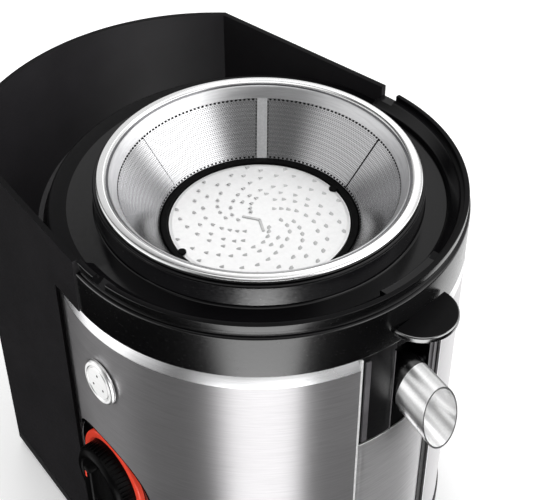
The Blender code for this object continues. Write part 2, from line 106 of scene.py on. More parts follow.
def lathe(profile, steps=ROUND, matrix=None):
    """A softened profile turned round Z. It is closed into a ring unless it starts and ends on the axis."""
    points = softened(profile)
    on_axis = points[0].x < 1e-6 and points[-1].x < 1e-6
    bm = bmesh.new()
    rows = []
    for p in points:
        if p.x < 1e-6:
            rows.append([bm.verts.new((0, 0, p.y * MM))] * steps)
            continue
        turns = [2 * math.pi * i / steps for i in range(steps)]
        places = [(p.x * MM * math.cos(a), p.x * MM * math.sin(a), p.y * MM) for a in turns]
        rows.append([bm.verts.new(place) for place in places])
    pairs = list(zip(rows, rows[1:]))
    if not on_axis:
        pairs.append((rows[-1], rows[0]))
    for upper, lower in pairs:
        for i in range(steps):
            j = (i + 1) % steps
            corners = []
            for v in (upper[i], upper[j], lower[j], lower[i]):
                if v not in corners:
                    corners.append(v)
            if len(corners) > 2:
                bm.faces.new(corners)
    return mesh_from(bm, matrix)


def ring(inner, outer, low, high, steps=ROUND, matrix=None, soft=0):
    """A plain ring round Z between two radii and two heights, in millimetres."""
    corners = [(outer, high, soft), (outer, low, soft), (inner, low, soft), (inner, high, soft)]
    return lathe(corners, steps, matrix)


def block(low, high, matrix=None, soft=0):
    """A box between two corners, in millimetres, with edges rounded by soft."""
    bm = bmesh.new()
    bmesh.ops.create_cube(bm, size=1)
    bmesh.ops.scale(bm, vec=[(b - a) * MM for a, b in zip(low, high)], verts=bm.verts)
    bmesh.ops.translate(bm, vec=[(a + b) / 2 * MM for a, b in zip(low, high)], verts=bm.verts)
    if soft:
        bmesh.ops.bevel(bm, geom=bm.edges[:], offset=soft * MM, segments=3, profile=0.5, affect="EDGES")
    return mesh_from(bm, matrix)


def rod(radius, start, end, steps=64):
    """A cylinder: its radius is in millimetres, its two ends in metres."""
    start, end = Vector(start), Vector(end)
    bm = bmesh.new()
    bmesh.ops.create_cone(bm, cap_ends=True, segments=steps, radius1=radius * MM, radius2=radius * MM,
                          depth=(end - start).length)
    turn = (end - start).to_track_quat("Z", "Y").to_matrix().to_4x4()
    return mesh_from(bm, Matrix.Translation((start + end) / 2) @ turn)


def slab(outline, low, high):
    """A flat outline of (x, y) points in millimetres, between two heights."""
    bm = bmesh.new()
    face = bm.faces.new([bm.verts.new((x * MM, y * MM, low * MM)) for x, y in outline])
    made = bmesh.ops.extrude_face_region(bm, geom=[face])
    top = [v for v in made["geom"] if isinstance(v, bmesh.types.BMVert)]
    bmesh.ops.translate(bm, vec=(0, 0, (high - low) * MM), verts=top)
    return mesh_from(bm)


def combined(mesh, *steps):
    """The mesh after Boolean steps, each an operation's name and another mesh."""
    base = bpy.data.objects.new("work", mesh)
    bpy.context.scene.collection.objects.link(base)
    helpers = []
    for operation, other in steps:
        helper = bpy.data.objects.new("helper", other)
        bpy.context.scene.collection.objects.link(helper)
        helpers.append(helper)
        modifier = base.modifiers.new("step", "BOOLEAN")
        modifier.object = helper
        modifier.operation = operation
        modifier.solver = "EXACT"
    bpy.context.view_layer.update()
    graph = bpy.context.evaluated_depsgraph_get()
    made = bpy.data.meshes.new_from_object(base.evaluated_get(graph))
    for obj in [base, *helpers]:
        bpy.data.objects.remove(obj)
    return made


def joined(*meshes):
    """Several closed meshes in one."""
    bm = bmesh.new()
    for mesh in meshes:
        bm.from_mesh(mesh)
    mesh = bpy.data.meshes.new("mesh")
    bm.to_mesh(mesh)
    bm.free()
    return mesh


def piece(name, mesh, look, body, nodes=(), crease=32, others=()):
    """A visible piece: its mesh is in the motor axis's frame, it rides on a body and may stand for CAD nodes.

    Each of the others is a look and a test: the faces that pass the test get that look.
    """
    obj = bpy.data.objects.new(name, mesh)
    bpy.context.scene.collection.objects.link(obj)
    obj.location = AXIS
    mesh.materials.clear()
    mesh.materials.append(look)
    for face in mesh.polygons:
        face.material_index = 0
    for index, (other, test) in enumerate(others, 1):
        mesh.materials.append(other)
        for face in mesh.polygons:
            if test(face):
                face.material_index = index
    mesh.shade_smooth()
    mesh.set_sharp_from_angle(angle=math.radians(crease))
    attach(obj, body)
    if nodes:
        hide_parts(*nodes)
    return obj


# ---------------------------------------------------------------- materials

class Look:
    """A Principled material with a few shorthands for its nodes."""

    def __init__(self, name, colour, roughness, metallic=0.0, **constants):
        self.mat = bpy.data.materials.new(name)
        self.mat.use_nodes = True
        self.tree = self.mat.node_tree
        self.shader = self.tree.nodes["Principled BSDF"]
        self.shader.inputs["Base Color"].default_value = (*colour, 1)
        self.shader.inputs["Roughness"].default_value = roughness
        self.shader.inputs["Metallic"].default_value = metallic
        for socket, value in constants.items():
            self.shader.inputs[socket.replace("_", " ")].default_value = value
        self.place = self.add("ShaderNodeTexCoord").outputs["Object"]

    def add(self, kind, inputs=None, **properties):
        made = self.tree.nodes.new(kind)
        for key, value in properties.items():
            setattr(made, key, value)
        for key, value in (inputs or {}).items():
            self.feed(made.inputs[key], value)
        return made

    def feed(self, socket, value):
        if isinstance(value, bpy.types.NodeSocket):
            self.tree.links.new(value, socket)
        else:
            socket.default_value = value

    def sums(self, operation, *values):
        made = self.add("ShaderNodeMath", operation=operation)
        for i, value in enumerate(values):
            self.feed(made.inputs[i], value)
        return made.outputs[0]

    def stretched(self, scale):
        inputs = {"Vector": self.place, "Scale": scale}
        return self.add("ShaderNodeMapping", inputs).outputs[0]

    def noise(self, vector, scale, detail=3.0, rough=0.55):
        inputs = {"Vector": vector, "Scale": scale, "Detail": detail, "Roughness": rough}
        return self.add("ShaderNodeTexNoise", inputs).outputs["Fac"]

    def ranged(self, value, low, high, start=0.25, end=0.75):
        made = self.add("ShaderNodeMapRange", {"Value": value, "From Min": start, "From Max": end,
                                               "To Min": low, "To Max": high})
        return made.outputs[0]

    def tint(self, factor, dark, light):
        mix = self.add("ShaderNodeMix", data_type="RGBA")
        self.feed(mix.inputs["Factor"], factor)
        mix.inputs[6].default_value = (*dark, 1)
        mix.inputs[7].default_value = (*light, 1)
        self.feed(self.shader.inputs["Base Color"], mix.outputs[2])

    def rough(self, value):
        self.feed(self.shader.inputs["Roughness"], value)

    def bump(self, height, strength, distance=0.0002):
        made = self.add("ShaderNodeBump", {"Height": height, "Strength": strength, "Distance": distance})
        self.feed(self.shader.inputs["Normal"], made.outputs[0])


def shades(colour, low, high):
    return [min(1, c * low) for c in colour], [min(1, c * high) for c in colour]


def gloss_plastic(name, colour, rough=0.12, peel=0.05, shine=0.5, index=1.5, glow=0.0):
    look = Look(name, colour, rough, 0.0, Specular_IOR_Level=shine, IOR=index, Emission_Color=(*colour, 1),
                Emission_Strength=glow)
    cloud = look.noise(look.place, 35, 4)
    look.tint(look.ranged(cloud, 0, 1), *shades(colour, 0.8, 1.25))
    scuff = look.noise(look.stretched((1, 1, 3)), 420, 5, 0.7)
    look.rough(look.ranged(scuff, rough * 0.8, rough * 1.5))
    look.bump(look.noise(look.place, 260, 2), peel, 0.0001)
    return look.mat


def moulded_plastic(name, colour, rough=0.5):
    look = Look(name, colour, rough)
    grain = look.noise(look.place, 1900, 2)
    cloud = look.noise(look.place, 60, 3)
    look.tint(look.ranged(cloud, 0, 1), *shades(colour, 0.75, 1.35))
    look.rough(look.ranged(grain, rough * 0.85, rough * 1.15))
    look.bump(grain, 0.35, 0.0001)
    return look.mat


def rubber(name, colour):
    look = Look(name, colour, 0.8)
    grain = look.noise(look.place, 1200, 4, 0.7)
    look.tint(look.ranged(grain, 0, 1), *shades(colour, 0.7, 1.5))
    look.bump(grain, 0.4, 0.0001)
    return look.mat


def brushed_metal(name, colour, rough, stretch, scale=60, lines=0.25, metallic=1.0, vary=0.11, **constants):
    """Metal brushed along the directions in which the noise is stretched."""
    look = Look(name, colour, rough, metallic, **constants)
    streaks = look.noise(look.stretched(stretch), scale, 6, 0.65)
    cloud = look.noise(look.place, 14, 3)
    look.tint(look.ranged(streaks, 0, 1, 0.3, 0.7), *shades(colour, 1 - vary, 1 + vary))
    both = look.sums("ADD", look.sums("MULTIPLY", streaks, 0.7), look.sums("MULTIPLY", cloud, 0.3))
    look.rough(look.ranged(both, rough * 0.8, rough * 1.2))
    look.bump(streaks, lines, 0.00004)
    return look.mat


def turned_metal(name, colour, rough, pitch=0.35, lines=0.2):
    """Metal finished on a lathe: fine rings that follow the radius and the height."""
    look = Look(name, colour, rough, 1.0)
    x, y, z = look.add("ShaderNodeSeparateXYZ", {"Vector": look.place}).outputs
    radius = look.sums("SQRT", look.sums("ADD", look.sums("MULTIPLY", x, x), look.sums("MULTIPLY", y, y)))
    across = look.add("ShaderNodeCombineXYZ", {"X": radius, "Y": z}).outputs[0]
    rings = look.noise(across, 1 / (pitch * MM) * 0.5, 4, 0.6)
    cloud = look.noise(look.place, 20, 3)
    look.tint(look.ranged(rings, 0, 1), *shades(colour, 0.9, 1.08))
    look.rough(look.ranged(cloud, rough * 0.8, rough * 1.3))
    look.bump(rings, lines, 0.00003)
    return look.mat


def perforated_metal(name, colour, rough, columns=330, row_pitch=1.05, hole_radius=0.27):
    """Thin steel sheet with staggered rows of fine holes round a cone."""
    look = Look(name, colour, rough, 1.0)
    x, y, z = look.add("ShaderNodeSeparateXYZ", {"Vector": look.place}).outputs
    radius = look.sums("SQRT", look.sums("ADD", look.sums("MULTIPLY", x, x), look.sums("MULTIPLY", y, y)))
    turn = look.sums("ARCTAN2", y, x)
    slant = look.sums("DIVIDE", look.sums("MULTIPLY", z, 1.3), row_pitch * MM)
    row = look.sums("FLOOR", slant)
    stagger = look.sums("MULTIPLY", row, 0.5)
    column = look.sums("ADD", look.sums("MULTIPLY", turn, columns / (2 * math.pi)), stagger)
    across = look.sums("SUBTRACT", look.sums("FRACT", column), 0.5)
    across = look.sums("MULTIPLY", across, look.sums("MULTIPLY", radius, 2 * math.pi / columns / MM))
    along = look.sums("MULTIPLY", look.sums("SUBTRACT", look.sums("FRACT", slant), 0.5), row_pitch)
    far = look.sums("SQRT", look.sums("ADD", look.sums("MULTIPLY", across, across),
                                      look.sums("MULTIPLY", along, along)))
    solid = look.ranged(far, 0, 1, hole_radius * 0.8, hole_radius * 1.2)
    bands = look.sums("SINE", look.sums("MULTIPLY", z, 2 * math.pi / 0.0019))
    steel = look.ranged(bands, 0.82, 1.0, -1, 1)
    look.tint(look.sums("MULTIPLY", solid, steel), [c * 0.2 for c in colour], colour)
    look.feed(look.shader.inputs["Metallic"], look.ranged(solid, 0.3, 1, 0, 1))
    brushing = look.noise(look.stretched((1, 1, 30)), 60, 4)
    look.rough(look.ranged(brushing, rough * 0.94, rough * 1.08))
    look.bump(solid, 0.15, 0.0001)
    return look.mat


def striped_metal(name, colour, rough, pitch):
    """Wound wire or stacked sheets: fine ridges across the height."""
    look = Look(name, colour, rough, 1.0)
    height = look.add("ShaderNodeSeparateXYZ", {"Vector": look.place}).outputs["Z"]
    wave = look.sums("SINE", look.sums("MULTIPLY", height, 2 * math.pi / (pitch * MM)))
    look.tint(look.ranged(wave, 0, 1, -1, 1), *shades(colour, 0.45, 1.15))
    look.bump(wave, 0.6, 0.0003)
    look.rough(look.ranged(look.noise(look.place, 90), rough * 0.8, rough * 1.2))
    return look.mat


def circuit_look(name):
    look = Look(name, (0.02, 0.16, 0.06), 0.4)
    cells = look.add("ShaderNodeTexVoronoi", {"Vector": look.place, "Scale": 260.0}, distance="MANHATTAN")
    look.tint(look.ranged(cells.outputs["Distance"], 0, 1, 0.1, 0.5), (0.35, 0.26, 0.08), (0.02, 0.14, 0.05))
    look.bump(cells.outputs["Distance"], 0.3)
    return look.mat


LOOKS = {
    "black_gloss": gloss_plastic("black_gloss", (0.003, 0.0028, 0.0033), 0.14, 0.04, 0.32),
    "collar": gloss_plastic("collar_gloss", (0.0015, 0.0014, 0.0017), 0.2, 0.03, 0.9, 1.58),
    "knob": gloss_plastic("knob_plastic", (0.0015, 0.0014, 0.0016), 0.3, 0.08, 0.1),
    "block_left": gloss_plastic("block_gloss", (0.003, 0.0028, 0.0033), 0.34, 0.04, 0.25),
    "grip": gloss_plastic("grip_plastic", (0.003, 0.0028, 0.0033), 0.3, 0.08, 0.1),
    "grip_edge": gloss_plastic("grip_edge_gloss", (0.003, 0.0028, 0.0033), 0.16, 0.03, 1.0, 2.2),
    # Grey plastic that paints a highlight on the black spout block: its ribs, right cheek and slot line.
    "grey_painted_highlight": moulded_plastic("grey_painted_highlight", (0.11, 0.105, 0.112), 0.45),
    "ring_wall": gloss_plastic("ring_wall_gloss", (0.004, 0.0038, 0.0045), 0.2, 0.03, 1.0),
    "black_satin": gloss_plastic("black_satin", (0.0055, 0.005, 0.006), 0.3, 0.08, 0.25),
    "black_plastic": moulded_plastic("black_plastic", (0.014, 0.0135, 0.0145)),
    "shell": brushed_metal("brushed_shell", (0.52, 0.51, 0.52), 0.33, (1, 1, 26), 55, 0.2, 0.78,
                           Anisotropic=0.8, Anisotropic_Rotation=0.25),
    "edge": turned_metal("edge_steel", (0.85, 0.85, 0.86), 0.24),
    "strip": brushed_metal("strip_steel", (0.78, 0.78, 0.79), 0.5, (1, 1, 1), 900, 0.3),
    "hub": gloss_plastic("hub_plastic", (0.0012, 0.0012, 0.0013), 0.5, 0.1, 0.1),
    # Dark steel for the rim's groove: painted shade in the recess.
    "groove": turned_metal("painted_shade_groove_steel", (0.2, 0.2, 0.21), 0.35),
    "rim": turned_metal("rim_steel", (0.95, 0.95, 0.95), 0.16, 0.25, 0.25),
    "band": brushed_metal("band_steel", (0.78, 0.78, 0.79), 0.4, (1, 1, 14), 60, 0.2),
    "mesh": perforated_metal("perforated_steel", (0.62, 0.62, 0.63), 0.23),
    "disc": brushed_metal("disc_steel", (0.92, 0.92, 0.92), 0.42, (3, 3, 3), 120, 0.1, 0.55, 0.04),
    # A darker copy of the disc's steel for the teeth and ridges: painted shade.
    "teeth": brushed_metal("painted_shade_tooth_steel", (0.6, 0.6, 0.6), 0.45, (3, 3, 3), 120, 0.1, 0.55),
    "container": gloss_plastic("container_plastic", (0.016, 0.015, 0.0165), 0.34, 0.06, 0.3),
    # A lighter copy of the container's plastic for the far wall's inside: painted light.
    "painted_light_far_wall": gloss_plastic("far_wall_painted_light_plastic", (0.024, 0.0225, 0.025), 0.34, 0.06, 0.4),
    "edge_bead": brushed_metal("edge_bead_steel", (0.92, 0.92, 0.92), 0.5, (1, 1, 1), 300, 0.1, 0.25),
    "panel": brushed_metal("gap_steel", (0.85, 0.84, 0.85), 0.33, (1, 1, 26), 55, 0.2, 0.78,
                           Anisotropic=0.8, Anisotropic_Rotation=0.25),
    "badge": turned_metal("badge_metal", (0.95, 0.95, 0.94), 0.3),
    "spout": turned_metal("spout_steel", (0.94, 0.94, 0.94), 0.29, 0.35, 0.03),
    # The red trim's emission is a painted glow: the switch ring and the knob's mark are no lamps.
    "red": gloss_plastic("red_trim", (1.0, 0.075, 0.04), 0.2, 0.05, 0.5, 1.5, 0.25),
    "rubber": rubber("soft_rubber", (0.018, 0.018, 0.018)),
    "zinc": turned_metal("zinc_plate", (0.62, 0.63, 0.65), 0.32),
    "aluminium": brushed_metal("die_cast", (0.66, 0.66, 0.67), 0.45, (4, 4, 4), 200, 0.4),
    "iron": striped_metal("laminations", (0.33, 0.33, 0.35), 0.45, 1.0),
    "copper": striped_metal("copper_wire", (0.75, 0.34, 0.17), 0.3, 0.9),
    "carbon": moulded_plastic("carbon", (0.03, 0.03, 0.033), 0.7),
    "board": circuit_look("circuit_board"),
}

NODE_LOOKS = {
    "black_plastic": ["base_plate", "chassis", "niche_liner", "top_deck", "switch_body", "cooling_fan"],
    "rubber": ["foot_1", "foot_2", "foot_3", "foot_4", "damper_1", "damper_2", "damper_3", "shaft_seal",
               "cord_gland"],
    "zinc": ["screw_1", "screw_2", "screw_3", "screw_4", "upper_bearing", "lower_bearing", "rotor_shaft",
             "drive_coupling", "switch_spindle"],
    "aluminium": ["upper_bracket", "lower_bracket"],
    "iron": ["motor_stator", "rotor_core"],
    "copper": ["coil_upper", "coil_lower", "commutator"],
    "carbon": ["brush_left", "brush_right"],
    "board": ["control_board"],
}


def dress_cad_nodes():
    """Carried-over CAD nodes get their detailed material."""
    for look, names in NODE_LOOKS.items():
        for name in names:
            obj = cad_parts[name]
            obj.data.materials.clear()
            obj.data.materials.append(LOOKS[look])


# ---------------------------------------------------------------- steel wrap

def facing(azimuth, height):
    """The matrix that points a piece made round +Z out of the body at this azimuth and height."""
    out = Matrix.Rotation(azimuth, 4, "Z") @ Matrix.Rotation(math.pi / 2, 4, "Y")
    return Matrix.Translation((0, 0, height * MM)) @ out @ Matrix.Rotation(math.pi / 2, 4, "Z")


def hole(radius, azimuth, height, steps=128):
    """A cutter for a round hole through the body's wall."""
    look_out = facing(azimuth, height)
    return rod(radius, look_out @ Vector((0, 0, 0.09)), look_out @ Vector((0, 0, 0.2)), steps)


def make_shell():
    """The steel wrap with its bright edge, the gap's edges and panel, and the plinth."""
    gap = block((60, -28.8, 0), (130, 28.8, 260))
    switch = hole(SWITCH_HOLE, SWITCH_TURN, SWITCH_Z)
    gland = hole(8.3, math.pi / 2, 40, 64)
    lower = [(107.5, 203.75), (107.5, 24.3, 0.3), (106.3, 24.3, 0.3), (106.3, 203.75)]
    shell = combined(lathe(lower), ("DIFFERENCE", gap), ("DIFFERENCE", switch), ("DIFFERENCE", gland))
    piece("steel_wrap", shell, LOOKS["shell"], "base", ["steel_shell"])
    edge = [(103, 211), (104.9, 211, 0.5), (107.5, 203.9, 0.7), (107.5, 203.8), (103, 203.8)]
    edge = combined(lathe(edge), ("DIFFERENCE", gap))
    piece("wrap_edge", edge, LOOKS["edge"], "base", ())
    for side in (-1, 1):
        strip = lathe([(107.62, 210.6, 0.3), (107.62, 24.6, 0.3), (106.4, 24.6, 0.3), (106.4, 210.6, 0.3)])
        keep = block((60, min(side * 28.85, side * 29.9), 0), (130, max(side * 28.85, side * 29.9), 260))
        strip = combined(strip, ("INTERSECT", keep))
        piece(f"wrap_side_edge_{'left' if side < 0 else 'right'}", strip, LOOKS["edge_bead"], "base", ())
    panel = combined(lathe([(106, 146.6, 0.3), (106, 24.4), (104.9, 24.4), (104.9, 146.6, 0.3)]),
                     ("INTERSECT", block((60, -28.4, 0), (130, 28.4, 200))))
    piece("gap_panel", panel, LOOKS["panel"], "base", ["front_panel"])
    # A black strip along the gap panel's right side.
    dark_strip = combined(ring(105.9, 106.5, 24.6, 146.5), ("INTERSECT", block((60, 22.6, 0), (130, 28.3, 200))))
    piece("gap_dark_strip", dark_strip, LOOKS["knob"], "base", ())
    plinth = [(107.6, 24, 0.5), (108.5, 22.6, 0.6), (108.5, 12.4, 0.5), (105, 12.4, 0.3), (105, 24, 0.3)]
    piece("plinth", lathe(plinth), LOOKS["black_satin"], "base", ["plinth_ring"])


# ---------------------------------------------------------------- switch and badge

def make_switch():
    """A dished black recess, a red ring on its floor, and the ribbed knob with its grip bar."""
    turn = facing(SWITCH_TURN, SWITCH_Z)
    rim = SWITCH_HOLE - 0.3
    recess = [(rim, 112), (rim, 92.2), (3.6, 92.2), (3.6, 94.4), (21, 94.4), (21, 101, 0.4),
              (rim - 1.6, 101, 1.5), (rim - 1.6, 112)]
    recess = combined(lathe(recess, 224, turn), ("INTERSECT", rod(107.1, (0, 0, 0), (0, 0, 0.3), 256)))
    piece("switch_recess", recess, LOOKS["black_gloss"], "base", ["switch_bezel"])
    red = [(23, 103.8, 0.4), (23.5, 104.3, 0.4), (27, 104.3, 0.6), (27.5, 103.6, 0.4), (27.5, 101.2),
           (23, 101.2)]
    piece("red_switch_ring", lathe(red, 224, turn), LOOKS["red"], "base", ["red_ring"])
    body = [(0, 113.3), (15.4, 113.5), (16.2, 114.4, 0.3), (18.4, 114.4, 1.1), (20.6, 112.6, 1.4),
            (22.3, 102.2, 0.5), (20.4, 102.1), (20.4, 96.6), (0, 96.6)]
    grip = block((-3.4, -17.2, 111), (3.4, 17.2, 119.8), turn, 1.5)
    knob = combined(lathe(body, 192, turn), ("UNION", grip))
    piece("knob_body", knob, LOOKS["knob"], "switch_knob", ["knob"])
    ribs = []
    for i in range(KNOB_RIBS):
        spin = turn @ Matrix.Rotation(2 * math.pi * i / KNOB_RIBS, 4, "Z")
        ribs.append(block((20.9, -0.4, 102.6), (21.95, 0.4, 111.2), spin, 0.25))
    piece("knob_ribs", joined(*ribs), LOOKS["knob"], "switch_knob", ())
    mark = block((-0.7, 11.4, 119.5), (0.7, 15.8, 119.98), turn, 0.2)
    piece("knob_mark", mark, LOOKS["red"], "switch_knob", ())


def make_badge():
    """A plain round badge: a rounded rim, a fine groove and a slightly raised middle with small studs."""
    turn = facing(-math.pi / 2, BADGE_Z) @ Matrix.Diagonal((BADGE_SQUASH, 1, 1, 1))
    disc = [(0, 108), (14, 108), (14, 109, 0.6), (12.8, 110.1, 0.7), (11, 110.15, 0.4), (10.6, 109.7, 0.2),
            (10.1, 109.7, 0.2), (9.7, 110.1, 0.3), (0, 110.15)]
    disc = combined(lathe(disc, 160, turn), ("DIFFERENCE", rod(107.8, (0, 0, 0.1), (0, 0, 0.25), 256)))
    badge = piece("badge_disc", disc, LOOKS["badge"], "base", ["badge"])
    studs = []
    for i in range(3):
        spot = turn @ Matrix.Rotation(2 * math.pi * i / 3, 4, "Z") @ Matrix.Translation((0, 0.0052, 0))
        studs.append(lathe([(0, 110.19), (0.8, 110.19, 0.2), (0.8, 109.9), (0, 109.9)], 32, spot))
    piece("badge_studs", joined(*studs), LOOKS["black_satin"], "base", ())
    linked_light("badge_light", [badge], view_point(-184, -38, 0.8), 0.5, 0.5, 0.8)


# ---------------------------------------------------------------- juice bowl

def side_cutter(out, low, high):
    """Everything beyond the container's side walls, on both sides."""
    made = []
    for side in (-1, 1):
        turn = Matrix.Rotation(side * SIDE_ANGLE, 4, "Z")
        made.append(block((out, -130, low), (out + 60, 130, high), turn))
    return made


def on_collar(face):
    """True for the collar's upright outside."""
    return face.center.xy.length > 104.9 * MM and abs(face.normal.z) < 0.4


def linked_light(name, pieces, place, width, height, power):
    """A soft box that only these pieces mirror."""
    lamp = softbox(name, place, (0, 0, 0.2), width, height, power)
    lamp.data.use_shadow = False
    seen = bpy.data.collections.new(name)
    for obj in pieces:
        seen.objects.link(obj)
    lamp.light_linking.receiver_collection = seen
    lamp.light_linking.blocker_collection = bpy.data.collections.new(name + "_blockers")


def on_left_cheek(face):
    """True for the spout block's outside, left of the opening."""
    return face.center.z < 208 * MM and face.center.x > 100 * MM and face.center.y < -5 * MM


def on_right_cheek(face):
    """True for the spout block's outside, right of the opening."""
    return face.center.z < 208 * MM and face.center.x > 100 * MM and face.center.y > 15 * MM


def on_dark_top(face):
    """True for the top of the lip, outside the lid seat, and for the outer part of the apron."""
    if face.normal.z < 0.6:
        return False
    reach = face.center.xy.length / MM
    seat = face.center.x > 0 and abs(face.center.y) < 20 * MM and reach < 103.6
    lip = face.center.z > 240.5 * MM and reach > 99.5 and not seat
    return lip or (face.center.x < -10.5 * MM and reach > 98.3 and face.center.z > 233 * MM)


def on_grip_edge(face):
    """True for the rounded upper edge and the side of the grip."""
    return face.normal.z < 0.93 and face.center.xy.length > 108 * MM


def make_bowl():
    """The juice bowl with its apron, hanging block, lid seat, ring wall, grip and ribs."""
    profile = [
        (103.5, 243.9, 0.5), (106.2, 243.9, 0.7), (106.2, 240, 0.3), (105.3, 239.6, 0.3), (105.3, 237, 0.3),
        (107.3, 236.5, 1.2), (107.3, 211.6, 0.6), (105, 211.6, 0.4), (105, 236), (102.2, 236.2),
        (97.2, 231.6), (84, 231.6), (84, 189, 1), (82, 187, 1), (16, 187), (16, 205, 0.6), (18.5, 205, 0.6),
        (18.5, 190.4, 1.5), (79.5, 189.8, 1.5), (81.6, 191.8, 1.5), (81.6, 247, 0.6), (84, 247, 0.8),
        (84, 234.9, 0.3), (84.5, 234.3, 0.2), (85.1, 234, 0.3), (95.4, 234, 0.5), (96.4, 236.6, 1.2),
        (101.4, 240.3, 0.8), (102, 241, 0.4), (103.5, 241, 0.3),
    ]
    slant = Matrix.Rotation(SPOUT_TURN, 4, "Z")
    behind = block((-130, -130, 180), (-12.3, 130, 280))
    outer = combined(ring(94.3, 125, 200, 260, 200), ("INTERSECT", behind))
    notches = [block((-20, 98, 239.2), (-1.9, 120, 260)), block((1.3, -120, 239.2), (9.9, -98, 260))]
    apron_profile = [(107.8, 234, 2.2), (107.8, 231.5, 0.4), (90, 231.5), (90, 234), (98.2, 234)]
    apron = combined(lathe(apron_profile, 250), ("INTERSECT", block((-130, -130, 180), (-10.5, 130, 280))),
                     *[("DIFFERENCE", m) for m in side_cutter(104.5, 200, 260)])
    hanging = combined(
        lathe([(105.9, 214), (105.9, 147.5, 0.6), (85.2, 147.5), (85.2, 186), (83, 189), (83, 214)], 256),
        ("INTERSECT", block((60, -28.2, 100), (130, 28.2, 260))),
        ("DIFFERENCE", block((60, -40, 140), (84.5, 40, 187.3))))
    pin = Vector((math.sin(SPOUT_TURN), -math.cos(SPOUT_TURN), 0)) * 0.0185
    seat = [(104, 242.7, 0.3), (104, 238), (99.3, 238), (98.7, 241.9, 0.6), (99.4, 242.7, 0.5)]
    seat = combined(lathe(seat, 300), ("INTERSECT", block((60, -19.3, 200), (140, 19.3, 260), slant)))
    bowl = combined(
        lathe(profile, 240), ("DIFFERENCE", outer), *[("DIFFERENCE", m) for m in notches],
        ("UNION", apron), ("UNION", hanging),
        ("DIFFERENCE", block((87.5, -14.5, 140), (130, 14.5, 205.8), slant)),
        ("DIFFERENCE", block((79, -9, 191), (89, 9, 200), slant)),
        ("DIFFERENCE", block((86.3, -8.3, 164), (92, 8.3, 198.4), slant)),
        ("DIFFERENCE", rod(2.4, PIVOT - pin, PIVOT + pin, 48)),
        ("UNION", seat))
    # The block's right cheek gets the grey painted highlight.
    others = [(LOOKS["collar"], on_collar), (LOOKS["block_left"], on_left_cheek),
              (LOOKS["grey_painted_highlight"], on_right_cheek), (LOOKS["grip"], on_dark_top)]
    nodes = ["juice_bowl", "centre_tube"]
    piece("bowl_shell", bowl, LOOKS["black_gloss"], "bowl", nodes, 28, others)
    skin = lathe([(84.12, 246, 0.1), (84.12, 235.4, 0.1), (83.5, 235.4), (83.5, 246)], 320)
    wall = piece("bowl_ring_wall", skin, LOOKS["ring_wall"], "bowl", ())
    linked_light("wall_strip", [wall], view_point(-87, -40, 0.7), 0.16, 0.5, 5.3)
    tab = [(0, 223), (17.9, 223, 0.8), (18.9, 222.3, 0.6), (18.9, 219.8, 0.6), (18, 219.1, 0.6), (0, 219.1)]
    tab = combined(lathe(tab, 160, slant @ Matrix.Translation((0.107, 0, 0))),
                   ("INTERSECT", block((107.05, -30, 200), (140, 30, 240), slant)))
    others = [(LOOKS["grip_edge"], on_grip_edge)]
    piece("bowl_grip", tab, LOOKS["grip"], "bowl", (), 32, others)
    # The block's ribs are grey: a painted highlight on black ribs.
    for side in (-1, 1):
        low, high = sorted((side * 23.4, side * 26.2))
        rib = combined(ring(105.2, 106.6, 149, 206.5, 256, None, 0.3),
                       ("INTERSECT", block((60, low, 100), (130, high, 260))))
        name = "left" if side < 0 else "right"
        piece(f"bowl_block_rib_{name}", rib, LOOKS["grey_painted_highlight"], "bowl", ())
    # A thin grey strip by the slot: a painted highlight along the opening's edge.
    slot_line = block((105.4, -15.1, 149), (106.1, -14.7, 205.6), slant, 0.15)
    piece("bowl_slot_highlight_line", slot_line, LOOKS["grey_painted_highlight"], "bowl", ())


# ---------------------------------------------------------------- spout

def make_spout():
    """The ball socket with its two pins, and the tube with its slanted mouth."""
    along = Matrix.Translation(PIVOT) @ Matrix.Rotation(SPOUT_TURN, 4, "Z")
    along = along @ Matrix.Rotation(math.pi / 2 + SPOUT_LEAN, 4, "Y")
    slant = Matrix.Rotation(SPOUT_TURN, 4, "Z")
    turns = [math.radians(a) for a in range(50, -1, -5)]
    ball = [(12.3 * math.cos(a), -12.3 * math.sin(a)) for a in turns]
    socket = [(7.6, ball[0][1])] + ball + [(12.3, 16), (9.6, 16), (9.6, 0)]
    beyond = block((106.2, -40, 100), (160, 40, 230), slant)
    socket = combined(lathe(socket, 128, along), ("DIFFERENCE", beyond))
    pins = []
    axis = Vector((math.sin(SPOUT_TURN), -math.cos(SPOUT_TURN), 0))
    for side in (-1, 1):
        pins.append(rod(2, PIVOT + axis * side * 0.0115, PIVOT + axis * side * 0.0178, 40))
    piece("spout_ball", socket, LOOKS["collar"], "spout", ["spout_socket"])
    piece("spout_pins", joined(*pins), LOOKS["zinc"], "spout", ())
    tube = [(12.4, 1), (12.9, 14), (13.3, 28.2), (13.9, 46), (13.1, 46), (12.5, 28.2), (12.1, 14), (11.6, 1)]
    mouth = Matrix.Translation(along @ Vector((0, 0, 0.0282))) @ slant
    mouth = mouth @ Matrix.Rotation(-math.radians(15.5), 4, "Y")
    tube = combined(lathe(tube, 160, along), ("DIFFERENCE", block((60, -40, 100), (106.5, 40, 230), slant)),
                    ("DIFFERENCE", block((0, -40, -60), (60, 40, 60), mouth)))
    pipe = piece("spout_pipe", tube, LOOKS["spout"], "spout", ["spout_tube"])
    linked_light("spout_light", [pipe], view_point(-121, 28, 0.8), 0.45, 0.45, 0.7)


# ---------------------------------------------------------------- basket

def cone_radius(height):
    """The radius of the cone's inside at this height, in millimetres."""
    slope = (CONE_TOP[0] - CONE_FOOT[0]) / (CONE_TOP[1] - CONE_FOOT[1])
    return CONE_FOOT[0] + (height - CONE_FOOT[1]) * slope


